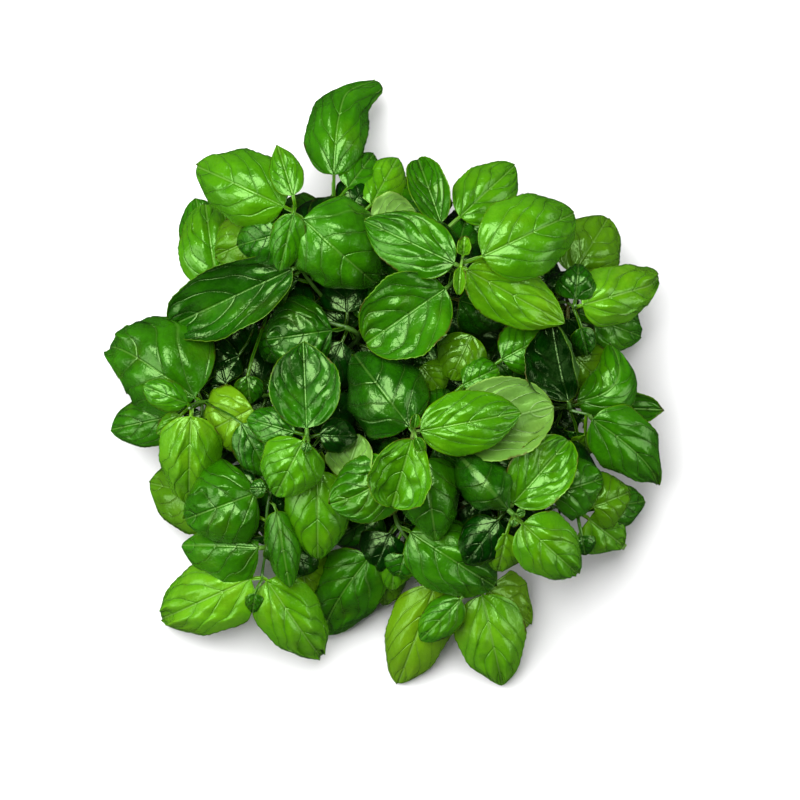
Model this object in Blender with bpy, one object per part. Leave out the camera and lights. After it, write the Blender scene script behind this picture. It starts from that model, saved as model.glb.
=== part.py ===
"""A bunch of cut sweet basil, laid down on a table and opened out into a low mound.

Fourteen sprigs lean outwards from cut ends that lie together under the middle. Every stem and every large leaf is
its own closed solid. The small leaves at the tips have no solid of their own: they are part of the finish.
Lengths in the tables are in millimetres, angles in degrees. +Z is up and the bunch rests on z = 0.
"""

import math
from dataclasses import dataclass

import bmesh
import bpy
from mathutils import Vector
from mathutils.bvhtree import BVHTree

MM = 0.001

# The middle of the bunch's footprint, in the tables' own coordinates. It becomes the origin.
MIDDLE = (1.4, -0.5)

# Blade and stalk of a leaf.
THICKNESS = 0.7
STALK_WIDTH = 2.2
TIP_WIDTH = 1.0
BROADEST = (0.56, 0.62)  # how fast the outline opens at the base and closes at the tip
ROWS_ALONG = 9
ROWS_ACROSS = 4
STALK_ROWS = 2

# Stems.
CUT_RADIUS = 1.8
TIP_RADIUS = 0.8
NODE_SWELLING = 0.25
NODE_REACH = 4.0  # how far along the stem a swelling fades out
STEM_STEP = 9.0  # distance between two points of a stem
STEM_SIDES = 2  # bevel resolution, which gives eight sides

# Clearances.
STALK_START = 3.0  # how far from the stem's middle a leaf begins, out and up, just clear of the stem's skin
HALF_CLEARANCE = 0.8  # kept on both sides of each blade while the leaves settle
SETTLE_STEP = 1.0
SETTLE_MOST = 16.0
FLOOR_SOFTNESS = 2.5  # height over which a drooping blade flattens out on the table


@dataclass(frozen=True)
class Leaf:
    """One leaf: where its tip is, and how its blade is bent.

    arch lifts the midrib above the straight line from stalk to tip, near the base and near the tip. fold creases
    the blade along its midrib and curl bends each half further towards its edge, both upwards where positive.
    roll turns the leaf about its length, right side down where positive, twist adds to it towards the tip, and
    sweep bends the midrib sideways, to the right where positive.
    """

    name: str
    tip: tuple
    width: float
    arch: tuple = (8, 8)
    fold: float = 4
    curl: float = -20
    roll: float = 0
    twist: float = 0
    sweep: float = 0
    stalk: float = 7


@dataclass(frozen=True)
class Node:
    """A place on a stem where leaves grow, or only a bend where it has none."""

    at: tuple
    leaves: tuple


@dataclass(frozen=True)
class Sprig:
    """One cut stem: its cut end, its nodes in order from the cut end, and its growing tip."""

    name: str
    cut: tuple
    nodes: tuple
    apex: tuple


SPRIGS = (
    Sprig(
        "north_west",
        (-10, 16),
        (
            Node((-43, 57, 68), (Leaf("c", (-108, 27, 48), 39, arch=(-4, 2), fold=10, curl=35, stalk=2),)),
            Node(
                (-46, 84, 82),
                (
                    Leaf("a", (-95, 107, 58), 41, arch=(16, 16), curl=-45, roll=-4, stalk=2),
                    Leaf("b", (-5, 48, 62), 50, arch=(18, 18), curl=-50, roll=8, stalk=3),
                ),
            ),
        ),
        (-45, 86, 90),
    ),
    Sprig(
        "north",
        (-3, 22),
        (Node((-26, 82, 56), (Leaf("a", (-15, 154, 12), 34, arch=(18, 24), curl=-45, sweep=-7, stalk=16),)),),
        (-31, 85, 61),
    ),
    Sprig(
        "north_east",
        (12, 18),
        (
            Node((32, 47, 90), (Leaf("a", (-10, 18, 89), 44, arch=(2, 4), fold=8, curl=25, stalk=1),)),
            Node(
                (37, 56, 102),
                (
                    Leaf("b", (94, 83, 78), 43, arch=(18, 22), curl=-25, stalk=8),
                    Leaf("c", (-11, 79, 88), 31, arch=(4, 6), fold=8, curl=-10, stalk=1),
                    Leaf("d", (89, 28, 80), 31, arch=(0, 4), curl=-10, stalk=1),
                ),
            ),
        ),
        (38, 60, 107),
    ),
    Sprig(
        "north_north_east",
        (6, 24),
        (
            Node(
                (29, 74, 66),
                (
                    Leaf("a", (16, 111, 46), 20, arch=(6, 8), fold=12, curl=10, stalk=2),
                    Leaf("b", (65, 108, 38), 29, arch=(8, 10), fold=8, stalk=8),
                ),
            ),
        ),
        (28, 78, 70),
    ),
    Sprig(
        "east",
        (24, 8),
        (
            Node(
                (84, 38, 56),
                (
                    Leaf("a", (112, 82, 28), 36, arch=(12, 14), curl=-30, stalk=14),
                    Leaf("b", (129, 22, 20), 34, arch=(8, 10), curl=-10, stalk=10),
                ),
            ),
            Node(
                (94, 36, 76),
                (
                    Leaf("c", (96, 58, 64), 24, arch=(10, 14), curl=-50, stalk=1),
                    Leaf("d", (138, 49, 34), 33, arch=(12, 16), curl=-45, roll=4, stalk=1),
                ),
            ),
        ),
        (94, 37, 82),
    ),
    Sprig(
        "east_south_east",
        (26, -5),
        (
            Node((83, -12, 43), ()),
            Node((90, -13, 51), (Leaf("c", (140, -15, 30), 18, arch=(1, 2), fold=15, curl=20, stalk=10),)),
            Node((91, -13, 57), (Leaf("a", (113, 18, 46), 28, arch=(8, 12), curl=-45, sweep=17, stalk=2),)),
            Node((92, -15, 65), (Leaf("b", (83, 29, 68), 35, arch=(-2, -4), fold=20, curl=45, roll=-15, stalk=3),)),
            Node((100, -17, 66), (Leaf("d", (137, -53, 22), 33, arch=(12, 14), fold=8, curl=-25, sweep=-5, stalk=1),)),
        ),
        (102, -18, 69),
    ),
    Sprig(
        "south_east",
        (20, -14),
        (
            Node((74, -59, 58), (Leaf("a", (109, -49, 48), 39, arch=(15, 12), curl=-45, roll=8, stalk=5),)),
            Node(
                (97, -66, 50),
                (
                    Leaf("b", (123, -56, 30), 33, arch=(8, 10), curl=-45, roll=8, stalk=4),
                    Leaf("c", (119, -83, 6), 33, arch=(12, 15), curl=-30, stalk=3),
                ),
            ),
        ),
        (96, -68, 53),
    ),
    Sprig(
        "south_south_east",
        (12, -22),
        (
            Node((61, -64, 80), (Leaf("a", (91, -30, 74), 31, arch=(6, 6), fold=6, curl=8, stalk=1),)),
            Node(
                (63, -67, 90),
                (
                    Leaf("b", (36, -37, 88), 28, arch=(8, 8), fold=-25, curl=-75, stalk=1),
                    Leaf("c", (96, -97, 60), 33, arch=(14, 16), curl=-30, stalk=3),
                ),
            ),
        ),
        (64, -67, 94),
    ),
    Sprig(
        "middle",
        (-6, 8),
        (
            Node((18, -30, 84), (Leaf("a", (83, -13, 74), 42, arch=(6, 8), curl=-15, roll=174, stalk=12),)),
            Node(
                (18, -31, 92),
                (
                    Leaf("b", (-28, -62, 85), 34, arch=(4, 6), curl=-10, sweep=-6, stalk=14),
                    Leaf("c", (25, -81, 66), 39, arch=(14, 16), fold=-8, curl=-45, stalk=5),
                ),
            ),
            Node(
                (14, -26, 103),
                (
                    Leaf("d", (-16, 13, 76), 43, arch=(12, 14), curl=-45, stalk=1),
                    Leaf("e", (3, -63, 92), 34, arch=(2, -2), fold=10, curl=30, stalk=1),
                    Leaf("f", (67, -16, 98), 32, arch=(6, 8), fold=6, curl=-15, stalk=1),
                ),
            ),
        ),
        (14, -25, 110),
    ),
    Sprig(
        "south",
        (2, -24),
        (
            Node(
                (6, -72, 56),
                (
                    Leaf("a", (-32, -129, 4), 38, arch=(12, 14), curl=-30, sweep=5, stalk=20),
                    Leaf("b", (55, -104, 34), 41, arch=(20, 18), curl=-45, stalk=4),
                ),
            ),
            Node((28, -94, 42), (Leaf("c", (6, -154, 2), 33, arch=(10, 14), curl=-30, stalk=8),)),
            Node(
                (47, -102, 38),
                (
                    Leaf("d", (59, -155, 2), 36, arch=(12, 14), curl=-20, stalk=3),
                    Leaf("e", (73, -124, 4), 34, arch=(6, 6), curl=-10, roll=-10, stalk=3),
                ),
            ),
        ),
        (46, -100, 43),
    ),
    Sprig(
        "south_west",
        (-14, -18),
        (
            Node((-56, -53, 65), (Leaf("a", (-101, -70, 52), 47, arch=(21, 18), curl=-45, stalk=6),)),
            Node((-60, -84, 60), (Leaf("b", (-103, -83, 40), 39, arch=(8, 8), fold=-20, curl=-20, roll=10, stalk=1),)),
            Node(
                (-62, -97, 52),
                (
                    Leaf("c", (-114, -121, 5), 39, arch=(14, 16), curl=-25, stalk=3),
                    Leaf("d", (-33, -140, 8), 34, arch=(18, 20), curl=-30, stalk=1),
                ),
            ),
        ),
        (-62, -100, 55),
    ),
    Sprig(
        "west_middle",
        (8, 2),
        (
            Node((-34, -36, 80), (Leaf("a", (-34, -90, 56), 35, arch=(12, 14), curl=-35, stalk=6),)),
            Node(
                (-39, -27, 101),
                (
                    Leaf("b", (-41, 19, 98), 36, arch=(2, 2), fold=6, curl=10, stalk=1),
                    Leaf("c", (-55, -58, 88), 34, arch=(10, 8), curl=-30, stalk=1),
                ),
            ),
        ),
        (-38, -29, 106),
    ),
    Sprig(
        "west",
        (-22, -4),
        (
            Node((-92, -11, 60), (Leaf("a", (-140, 16, 18), 57, arch=(20, 24), curl=-40, roll=-12, stalk=1),)),
            Node((-97, -14, 72), (Leaf("b", (-99, -63, 36), 33, arch=(14, 10), curl=-30, stalk=1),)),
        ),
        (-98, -14, 76),
    ),
    Sprig(
        "west_north_west",
        (-18, 10),
        (
            Node((-19, 26, 48), (Leaf("a", (-60, 20, 56), 42, arch=(12, 8), curl=-35, stalk=8),)),
            Node((-84, 41, 34), (Leaf("b", (-91, 89, 30), 35, arch=(16, 14), curl=-30, stalk=2),)),
        ),
        (-87, 42, 35),
    ),
)


def clear_scene():
    """Removes whatever the file held."""
    for obj in list(bpy.data.objects):
        bpy.data.objects.remove(obj)


def finish(name, colour, roughness):
    """A plain material for one kind of piece."""
    material = bpy.data.materials.new(name)
    material.use_nodes = True
    shader = material.node_tree.nodes["Principled BSDF"]
    shader.inputs["Base Color"].default_value = (*colour, 1)
    shader.inputs["Roughness"].default_value = roughness
    return material


def rests_on_floor(height, lowest):
    """A height in mm, eased so that it never comes below the lowest one."""
    above = height - lowest
    return lowest + (above + math.hypot(above, FLOOR_SOFTNESS)) / 2


def outline(along):
    """Half the blade's width at a place along it, as a share of the widest half."""
    opens, closes = BROADEST
    peak = opens / (opens + closes)
    return (along / peak) ** opens * ((1 - along) / (1 - peak)) ** closes


def section(leaf, across):
    """Where a point of the blade's cross-section lies, sideways and up, in half-widths of the flat blade."""
    fold = math.radians(leaf.fold)
    curl = math.radians(leaf.curl) or 1e-6
    turned = fold + curl * abs(across)
    sideways = (math.sin(turned) - math.sin(fold)) / curl
    up = (math.cos(fold) - math.cos(turned)) / curl
    return math.copysign(sideways, across), up


def leaf_frame(leaf, node, along):
    """The midrib's point at a place along the leaf, with the blade's rightward and upward directions there."""
    start = Vector(node.at)
    end = Vector(leaf.tip)
    chord = end - start
    right = chord.cross(Vector((0, 0, 1))).normalized()
    up = right.cross(chord).normalized()
    start += (chord.normalized() + up).normalized() * STALK_START
    chord = end - start
    near = start + chord / 3 + up * leaf.arch[0] + right * leaf.sweep
    far = start + chord * 2 / 3 + up * leaf.arch[1] + right * leaf.sweep
    back = 1 - along
    point = back**3 * start + 3 * back**2 * along * near + 3 * back * along**2 * far + along**3 * end
    heading = back**2 * (near - start) + 2 * back * along * (far - near) + along**2 * (end - far)
    heading.normalize()
    right = (right - right.dot(heading) * heading).normalized()
    up = right.cross(heading)
    roll = math.radians(leaf.roll + leaf.twist * along)
    return point, right * math.cos(roll) - up * math.sin(roll), up * math.cos(roll) + right * math.sin(roll)


def leaf_point(leaf, node, row, across, lift):
    """A point of the leaf's middle surface, in mm: row runs from 0 at the stem to 1 at the tip."""
    length = (Vector(leaf.tip) - Vector(node.at)).length
    stalk = leaf.stalk / length
    stalk_row = STALK_ROWS / ROWS_ALONG
    if row <= stalk_row:
        along = row / stalk_row * stalk
        half = STALK_WIDTH / 2
    else:
        blade = (row - stalk_row) / (1 - stalk_row)
        along = stalk + blade * (1 - stalk)
        half = max(leaf.width / 2 * outline(min(blade, 1)), STALK_WIDTH / 2 * (1 - blade) + TIP_WIDTH / 2 * blade)
    point, right, up = leaf_frame(leaf, node, along)
    sideways, upwards = section(leaf, across)
    point += right * sideways * half + up * upwards * half
    point.x -= MIDDLE[0]
    point.y -= MIDDLE[1]
    point.z = rests_on_floor(point.z + lift, THICKNESS / 2)
    return point


def leaf_sheet(leaf, node, lift):
    """The leaf's middle surface as a grid."""
    sheet = bmesh.new()
    bmesh.ops.create_grid(sheet, x_segments=ROWS_ACROSS, y_segments=ROWS_ALONG, size=0.5)
    for vertex in sheet.verts:
        vertex.co = leaf_point(leaf, node, vertex.co.y + 0.5, vertex.co.x * 2, lift)
    bmesh.ops.recalc_face_normals(sheet, faces=sheet.faces)
    sheet.normal_update()
    return sheet


def guard(leaf, node, lift):
    """The two surfaces that bound the space a leaf keeps to itself."""
    sheet = leaf_sheet(leaf, node, lift)
    sides = []
    for side in (-HALF_CLEARANCE, HALF_CLEARANCE):
        points = [vertex.co + vertex.normal * side for vertex in sheet.verts]
        faces = [[vertex.index for vertex in face.verts] for face in sheet.faces]
        sides.append(BVHTree.FromPolygons(points, faces))
    sheet.free()
    return sides


def meets(guards, others):
    """Whether any surface of one leaf's guard cuts one of another's."""
    return any(mine.overlap(theirs) for mine in guards for theirs in others)


def settle():
    """How far each leaf is lifted, lowest leaves first, so that it lies clear of those below it."""
    waiting = [(sprig, node, leaf) for sprig in SPRIGS for node in sprig.nodes for leaf in node.leaves]
    waiting.sort(key=lambda entry: leaf_frame(entry[2], entry[1], 0.5)[0].z)
    placed = []
    lifts = {}
    for sprig, node, leaf in waiting:
        lift = 0.0
        guards = guard(leaf, node, lift)
        while lift < SETTLE_MOST and any(meets(guards, others) for others in placed):
            lift += SETTLE_STEP
            guards = guard(leaf, node, lift)
        placed.append(guards)
        lifts[sprig.name, leaf.name] = lift
    return lifts


def make_leaf(sprig, node, leaf, lift, material):
    """One leaf as a thin closed solid."""
    name = f"leaf_{sprig.name}_{leaf.name}"
    sheet = leaf_sheet(leaf, node, lift)
    bmesh.ops.scale(sheet, vec=(MM, MM, MM), verts=sheet.verts)
    mesh = bpy.data.meshes.new(name)
    sheet.to_mesh(mesh)
    sheet.free()
    mesh.shade_smooth()
    mesh.materials.append(material)
    obj = bpy.data.objects.new(name, mesh)
    bpy.context.scene.collection.objects.link(obj)
    blade = obj.modifiers.new("Blade", "SOLIDIFY")
    blade.thickness = THICKNESS * MM
    blade.offset = 0
    return obj


def smooth_path(points, step):
    """Points about a step apart on a smooth curve through the given ones."""
    points = [Vector(point) for point in points]
    ends = [points[0] * 2 - points[1], *points, points[-1] * 2 - points[-2]]
    path = [points[0]]
    for before, start, end, after in zip(ends, ends[1:], ends[2:], ends[3:]):
        count = max(2, round((end - start).length / step))
        for i in range(1, count + 1):
            t = i / count
            path.append(
                0.5
                * (
                    2 * start
                    + (end - before) * t
                    + (2 * before - 5 * start + 4 * end - after) * t**2
                    + (3 * start - before - 3 * end + after) * t**3
                )
            )
    return path


def make_stem(sprig, lifts, material):
    """One stem: a tapering tube, swollen at its nodes, from its cut end on the table to its growing tip."""
    nodes = []
    for node in sprig.nodes:
        lift = sum(lifts[sprig.name, leaf.name] for leaf in node.leaves) / max(1, len(node.leaves))
        nodes.append(Vector(node.at) + Vector((0, 0, lift)))
    cut = Vector((*sprig.cut, CUT_RADIUS))
    apex = Vector(sprig.apex) + nodes[-1] - Vector(sprig.nodes[-1].at)
    low = cut.lerp(nodes[0], 0.35)
    low.z *= 0.7
    path = smooth_path([cut, low, *nodes, apex], STEM_STEP)
    name = f"stem_{sprig.name}"
    curve = bpy.data.curves.new(name, "CURVE")
    curve.dimensions = "3D"
    curve.bevel_depth = MM
    curve.bevel_resolution = STEM_SIDES
    curve.use_fill_caps = True
    curve.materials.append(material)
    spline = curve.splines.new("POLY")
    spline.points.add(len(path) - 1)
    for i, (point, place) in enumerate(zip(spline.points, path)):
        nearest = min((place - node).length for node in nodes)
        swelling = 1 + NODE_SWELLING * math.exp(-((nearest / NODE_REACH) ** 2))
        radius = (CUT_RADIUS + (TIP_RADIUS - CUT_RADIUS) * i / (len(path) - 1)) * swelling
        place = place - Vector((*MIDDLE, 0))
        point.co = (place.x * MM, place.y * MM, max(place.z, radius) * MM, 1)
        point.radius = radius
    obj = bpy.data.objects.new(name, curve)
    bpy.context.scene.collection.objects.link(obj)
    return obj


def main():
    clear_scene()
    blade_green = finish("leaf", (0.08, 0.26, 0.02), 0.35)
    stem_green = finish("stem", (0.25, 0.42, 0.1), 0.45)
    lifts = settle()
    for sprig in SPRIGS:
        make_stem(sprig, lifts, stem_green)
        for node in sprig.nodes:
            for leaf in node.leaves:
                make_leaf(sprig, node, leaf, lifts[sprig.name, leaf.name], blade_green)


main()
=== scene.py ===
"""A bunch of cut sweet basil, laid down and opened out into a low mound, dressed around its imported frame.

Fourteen sprigs lean outwards from cut ends that lie together under the middle. Every large leaf and every
stem takes the place of one solid of the frame, and the small leaves at the tips and low on the stems go with
their sprig. Lengths in the tables are in millimetres, angles in degrees. +Z is up, and the bunch rests on
z = 0.
"""

from __future__ import annotations

import logging
import math
import random
from dataclasses import dataclass
from enum import Enum

import bmesh
import bpy
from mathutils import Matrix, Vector, noise

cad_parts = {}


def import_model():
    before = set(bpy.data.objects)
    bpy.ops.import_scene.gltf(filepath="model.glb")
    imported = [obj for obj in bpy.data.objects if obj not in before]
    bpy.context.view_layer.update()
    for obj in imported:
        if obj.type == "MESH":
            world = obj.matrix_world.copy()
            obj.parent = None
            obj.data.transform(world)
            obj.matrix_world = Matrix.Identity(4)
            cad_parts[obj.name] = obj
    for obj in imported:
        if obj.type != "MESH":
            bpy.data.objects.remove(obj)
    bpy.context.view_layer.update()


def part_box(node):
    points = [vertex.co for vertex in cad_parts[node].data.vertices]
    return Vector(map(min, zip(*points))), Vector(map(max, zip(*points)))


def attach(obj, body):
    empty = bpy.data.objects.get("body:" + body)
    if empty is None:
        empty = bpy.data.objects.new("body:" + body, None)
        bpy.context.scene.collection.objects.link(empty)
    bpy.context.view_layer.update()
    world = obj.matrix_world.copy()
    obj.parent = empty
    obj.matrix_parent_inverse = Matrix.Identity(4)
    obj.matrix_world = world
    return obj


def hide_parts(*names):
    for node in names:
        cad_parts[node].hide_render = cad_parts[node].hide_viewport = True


LOG = logging.getLogger("basil")
BODY = "root"
MM = 0.001
Colour = tuple[float, float, float]
Point = tuple[float, float, float]

# The frame's own rules for its leaves and stems, in mm.
MIDDLE = (1.4, -0.5)
LEAF_THICKNESS = 0.7
STALK_WIDTH = 2.2
TIP_WIDTH = 1.0
BROADEST = (0.56, 0.62)  # how fast the outline opens at the base and closes at the tip
FRAME_ROWS_ALONG = 9
FRAME_ROWS_ACROSS = 4
FRAME_STALK_ROWS = 2
CUT_RADIUS = 1.8
TIP_RADIUS = 0.8
NODE_SWELLING = 0.25
NODE_REACH = 4.0
STALK_START = 3.0
SETTLE_STEP = 1.0
FLOOR_SOFTNESS = 2.5

# Finer sizes of the leaves shown, in mm.
ROWS_ALONG = 66
ROWS_ACROSS = 44
STALK_ROWS = 4
SMALL_ROWS_ALONG = 30
SMALL_ROWS_ACROSS = 18
SMALL_STALK_ROWS = 2
LOW_ROWS_ALONG = 20
LOW_ROWS_ACROSS = 12
BLADE_THICKNESS = 0.32
RIB_THICKNESS = 1.15
RIB_WIDTH = 1.1
SMALL_RIB_THICKNESS = RIB_THICKNESS * 0.7
STALK_HALF_WIDTH = STALK_WIDTH * 0.4
STALK_SWELLING = 0.45  # how far the middle of a stalk's upper face stands up
STALK_RIB = 0.45  # how far from the midrib all of a stalk counts as being
STEADINESS = 0.7  # how nearly a blade's halves rise the same way all along it, from 0 to 1
SEEN_WEIGHT = 0.9  # how much a place's share of the blade is judged from above, and not along the blade
NARROWEST = 0.15  # half the width of a blade's very tip
LOWEST = 0.9  # the least height of a blade's upper face above the table
WIDEST = 0.45  # where along its length a blade is broadest
ROUNDNESS = (2.1, 0.48)  # the powers that round a blade's outline at its middle and at its base
DOMING = 36.0  # how many degrees further than the frame a blade bends from its midrib to its edge
DOME_RISE = 0.35  # how far a blade is raised for each half-width that is made up for after doming

# The relief of a blade, in mm for a leaf of the full width, and smaller in proportion on a smaller leaf.
FULL_WIDTH = 45
VEIN_PAIRS = 3.6
VEIN_LEAN = (0.34, 0.4)  # how far side veins run forward on their way to the edge, evenly and increasingly
VEIN_OFFSET = 0.05  # how unlike the left and right veins lean
VEIN_WANDER = 0.17
VEIN_CROWDING = 0.4  # how much closer together side veins start near the base than evenly
QUILT_HEIGHT = 1.7
PUCKERS = (  # each kind's number of ripples along and across, its place in the noise and its height
    (4.2, 2.2, 7, 3.2),
    (8, 4, 5, 1.1),
    (13, 7, 9, 0.35),
)
PUCKER_SHARE = 0.35  # how much puckering a blade with no swelling between its veins still has
GROOVE_DEPTH = 0.55
GROOVE_WIDTH = 1.3
EDGE_LIFT = 0.45  # the height of the relief's waves at the edge
WAVE_HEIGHT = 1.3  # the height of the whole edge's waves
TEETH = 13
TOOTH_HEIGHT = 0.55

# The lower leaves, darkened with painted shade where they lie under the others: pairs of them between two
# shares of each stem's length, and none that reaches further out than LOW_REACH from the middle of the bunch.
LOW_PAIRS = 8
LOW_FROM = 0.1
LOW_TO = 0.86
LOW_REACH = 100.0
LOW_BACKWARD = (100, 175)  # how far the lowest pair turns from the stem's heading, in degrees
LOW_SIDEWAYS = (50, 95)  # the same for every second pair
LOW_FORWARD = (10, 45)  # the same for the others
LOW_LENGTH = (28, 38)
LOW_WIDTH = (22, 30)
LOW_DROOP = (0.55, 0.9)  # the height of the tip as a share of the height where the leaf grows
LOW_LEAST_HEIGHT = 4.0
SHADED_LOW_SHARE = 0.75  # how many of them have the darkest tone, as painted shade under the leaves above

# Finer sizes of the stems shown, in mm.
STEM_STEP = 2.5
STEM_SIDES = 16
STEM_SQUARENESS = 0.12
STEM_EASE = 0.25  # how much slimmer than the solid a stem is, so that leaf bases sit on it
STEM_FLOOR = 0.1
FIRST_BEND = (0.35, 0.7)  # where on the way to its first node a stem bends, and how low it runs there
SHARPEST = 60  # the angle in degrees from which a stem's edge, such as its cut end's, isn't smoothed

NEARLY_ZERO = 1e-6

# How light meets a leaf's skin, and how far in metres its finest relief and a stem's stand out.
WAX_IOR = 1.46
SHINE = 0.85
SHINE_TINT = (0.57, 1.0, 0.34)
WET_ROUGHNESS = 0.07
SKIN_RELIEF = 0.00018
STEM_RELIEF = 0.0002


class Tone(Enum):
    """How bright and how yellow a blade is, from 0 to 1 each. The brightness is partly the leaf's own colour
    and partly painted shade and light: leaves lying low or under others have darker tones.
    """

    DEEP = (0.0, 0.1)
    DARK = (0.26, 0.1)
    MID = (0.42, 0.15)
    FRESH = (0.62, 0.2)
    BRIGHT = (0.8, 0.22)
    LIME = (0.85, 0.65)
    OLIVE = (0.5, 0.7)


@dataclass(frozen=True)
class Leaf:
    """One leaf: where its tip is, how its blade is bent and how it looks.

    arch lifts the midrib above the straight line from stalk to tip, near the base and near the tip. fold
    creases the blade along its midrib, and curl bends each half further towards its edge, both upwards where
    positive.

    roll turns the leaf about its length, right side down where positive, and sweep bends the midrib sideways,
    to the right where positive. hook turns the tip sideways, quilt scales the swelling between the veins,
    ruffle scales the edge's waves, and wet is how much water film lies on the blade. dome scales how much
    further than the frame's the blade bends from its midrib to its edge, and a higher blunt closes the
    outline more sharply at the tip.
    """

    name: str
    tip: Point
    width: float
    arch: tuple[float, float] = (8, 8)
    fold: float = 4
    curl: float = -20
    roll: float = 0
    sweep: float = 0
    stalk: float = 7
    tone: Tone = Tone.MID
    hook: float = 0
    quilt: float = 1
    ruffle: float = 1
    wet: float = 0
    dome: float = 1
    blunt: float = 0.6


class Node:
    """A place on a stem where large leaves grow, or only a bend where it has none.

    Args:
        at: where it is.
        leaves: the leaves that grow there.
    """

    def __init__(self, at: Point, *leaves: Leaf) -> None:
        """Sets the node's place and leaves."""
        self.at = at
        self.leaves = leaves


@dataclass(frozen=True)
class Small:
    """A small leaf, which belongs to its sprig's group, and the place where it grows."""

    at: Point
    leaf: Leaf


@dataclass(frozen=True)
class Sprig:
    """One stem: its cut end, its nodes in order from the cut end, its growing tip and its small leaves."""

    name: str
    cut: tuple[float, float]
    nodes: tuple[Node, ...]
    apex: Point
    small: tuple[Small, ...]


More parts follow.
